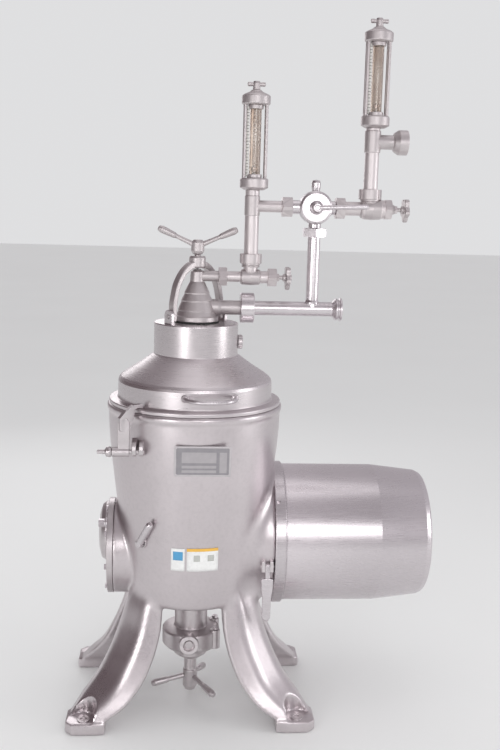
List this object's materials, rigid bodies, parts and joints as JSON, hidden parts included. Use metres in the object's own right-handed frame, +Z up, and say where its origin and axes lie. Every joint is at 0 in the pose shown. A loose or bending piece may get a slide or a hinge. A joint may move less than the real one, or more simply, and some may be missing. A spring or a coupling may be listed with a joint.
{
  "type": "cream separator",
  "caption": "Stainless disc cream separator on splayed legs, with side motor, domed hood, outlet piping, valves and flow meters.",
  "frame": {"origin": "centre of the bounding box's bottom, on the floor", "axes": "+Z up along the bowl's spindle, +X towards the motor and the pipe ends, -Y towards the name plate"},
  "size_m": [0.975, 0.5142, 1.842],
  "materials": {
    "frame_steel": "satin brushed stainless skin over the casting",
    "satin_steel": "satin, polished along the turning direction",
    "blasted_steel": "bead-blasted matt grey with a warm tone",
    "polished_steel": "polished",
    "machined_steel": "fine turned",
    "bronze": "machined bronze",
    "rubber": "matt black",
    "etched_plate": "etched plate without text",
    "sight_glass": "clear glass with a pale brown cast",
    "motor_iron": "painted dark grey"
  },
  "bodies": {
    "stand": {"frame": "frame_steel", "gear_cover": "frame_steel", "gear_cover_cap": "frame_steel", "oil_filler_plug": "satin_steel", "name_plate": "etched_plate", "motor_adapter": "satin_steel", "motor_shroud": "satin_steel", "motor_stator": "motor_iron", "shaft_bearing_left": "machined_steel", "shaft_bearing_right": "machined_steel", "top_bearing": "machined_steel", "bottom_bearing": "machined_steel", "bottom_bearing_housing": "frame_steel", "paring_disc": "satin_steel", "hood": "satin_steel", "hood_gasket": "rubber", "hood_handle_front": "polished_steel", "hood_handle_rear": "polished_steel", "outlet_casting": "blasted_steel", "outlet_gasket": "rubber", "cream_union_nut": "blasted_steel", "cream_pipe": "blasted_steel", "skim_union_nut": "polished_steel", "skim_pipe": "polished_steel", "cock_body": "polished_steel", "feed_pipe": "blasted_steel", "cream_meter_cage": "blasted_steel", "feed_meter_cage": "blasted_steel", "cream_meter_glass": "sight_glass", "feed_meter_glass": "sight_glass"},
    "bowl": {"spindle": "machined_steel", "worm": "machined_steel", "bowl_body": "machined_steel", "distributor": "machined_steel", "disc_stack": "machined_steel", "bowl_hood": "machined_steel", "bowl_lock_ring": "machined_steel"},
    "drive": {"wheel_shaft": "machined_steel", "worm_wheel": "bronze", "clutch_drum": "machined_steel", "clutch_hub": "machined_steel", "motor_rotor": "motor_iron", "motor_fan": "motor_iron"},
    "height_screw": {"height_screw": "frame_steel"},
    "clamp_arm_left": {"clamp_arm_left": "frame_steel"},
    "clamp_arm_right": {"clamp_arm_right": "frame_steel"},
    "clamp_pin_left": {"clamp_pin_left": "frame_steel"},
    "clamp_pin_right": {"clamp_pin_right": "frame_steel"},
    "neck_screw": {"neck_screw": "frame_steel"},
    "bail": {"bail": "blasted_steel"},
    "bail_screw": {"bail_screw": "blasted_steel"},
    "cream_handwheel": {"cream_handwheel": "blasted_steel"},
    "feed_handwheel": {"feed_handwheel": "blasted_steel"},
    "cock_plug": {"cock_plug": "polished_steel"},
    "cream_meter_float": {"cream_meter_float": "satin_steel"},
    "feed_meter_float": {"feed_meter_float": "satin_steel"},
    "cream_meter_tap": {"cream_meter_tap": "blasted_steel"},
    "feed_meter_tap": {"feed_meter_tap": "blasted_steel"},
    "brake_handle": {"brake_handle": "polished_steel"},
    "motor_clamp_lever": {"motor_clamp_lever": "polished_steel"}
  },
  "joints": [
    {"name": "bowl_spin", "type": "hinge", "parent": "stand", "child": "bowl", "pos_m": [-0.1605, 0, 0.5], "axis": [0, 0, 1], "continuous": true},
    {"name": "drive_spin", "type": "hinge", "parent": "stand", "child": "drive", "pos_m": [-0.1605, 0.058, 0.456], "axis": [1, 0, 0], "continuous": true},
    {"name": "height_screw_turn", "type": "hinge", "parent": "stand", "child": "height_screw", "pos_m": [-0.1605, 0, 0.09], "axis": [0, 0, 1], "range_deg": [-360, 360]},
    {"name": "clamp_arm_left_swing", "type": "hinge", "parent": "stand", "child": "clamp_arm_left", "pos_m": [-0.3405, -0.195, 0.746], "axis": [1, 0, 0], "range_deg": [0, 100]},
    {"name": "clamp_pin_left_turn", "type": "hinge", "parent": "stand", "child": "clamp_pin_left", "pos_m": [-0.3405, -0.195, 0.746], "axis": [1, 0, 0], "range_deg": [-90, 90]},
    {"name": "clamp_arm_right_swing", "type": "hinge", "parent": "stand", "child": "clamp_arm_right", "pos_m": [0.0195, 0.195, 0.746], "axis": [-1, 0, 0], "range_deg": [0, 100]},
    {"name": "clamp_pin_right_turn", "type": "hinge", "parent": "stand", "child": "clamp_pin_right", "pos_m": [0.0195, 0.195, 0.746], "axis": [-1, 0, 0], "range_deg": [-90, 90]},
    {"name": "neck_screw_turn", "type": "hinge", "parent": "stand", "child": "neck_screw", "pos_m": [-0.0425, 0, 1.002], "axis": [1, 0, 0], "range_deg": [0, 720]},
    {"name": "bail_swing", "type": "hinge", "parent": "stand", "child": "bail", "pos_m": [-0.1605, 0, 1.072], "axis": [0.766, 0.6428, 0], "range_deg": [-75, 0]},
    {"name": "bail_screw_turn", "type": "hinge", "parent": "bail", "child": "bail_screw", "pos_m": [-0.1605, 0, 1.21], "axis": [0, 0, 1], "range_deg": [0, 720]},
    {"name": "cream_valve_turn", "type": "hinge", "parent": "stand", "child": "cream_handwheel", "pos_m": [0.0595, 0, 1.175], "axis": [1, 0, 0], "range_deg": [0, 1080]},
    {"name": "feed_valve_turn", "type": "hinge", "parent": "stand", "child": "feed_handwheel", "pos_m": [0.3695, 0, 1.36], "axis": [1, 0, 0], "range_deg": [0, 1080]},
    {"name": "cock_turn", "type": "hinge", "parent": "stand", "child": "cock_plug", "pos_m": [0.1455, 0, 1.36], "axis": [0, 1, 0], "range_deg": [-90, 90]},
    {"name": "cream_float_rise", "type": "slide", "parent": "stand", "child": "cream_meter_float", "axis": [0, 0, 1], "range_m": [0, 0.1]},
    {"name": "feed_float_rise", "type": "slide", "parent": "stand", "child": "feed_meter_float", "axis": [0, 0, 1], "range_m": [0, 0.1]},
    {"name": "cream_tap_turn", "type": "hinge", "parent": "stand", "child": "cream_meter_tap", "pos_m": [-0.0175, 0, 1.66], "axis": [0, 0, 1], "range_deg": [0, 720]},
    {"name": "feed_tap_turn", "type": "hinge", "parent": "stand", "child": "feed_meter_tap", "pos_m": [0.2935, 0, 1.83], "axis": [0, 0, 1], "range_deg": [0, 720]},
    {"name": "brake_handle_turn", "type": "hinge", "parent": "stand", "child": "brake_handle", "pos_m": [-0.29265, -0.14677, 0.492], "axis": [-0.6691, -0.7431, 0], "range_deg": [0, 90]},
    {"name": "motor_clamp_swing", "type": "hinge", "parent": "stand", "child": "motor_clamp_lever", "pos_m": [0.0365, -0.1305, 0.421], "axis": [1, 0, 0], "range_deg": [-110, 0]}
  ],
  "couplings": [
    {"joint": "drive_spin", "follows": "bowl_spin", "ratio": 0.22222}
  ]
}
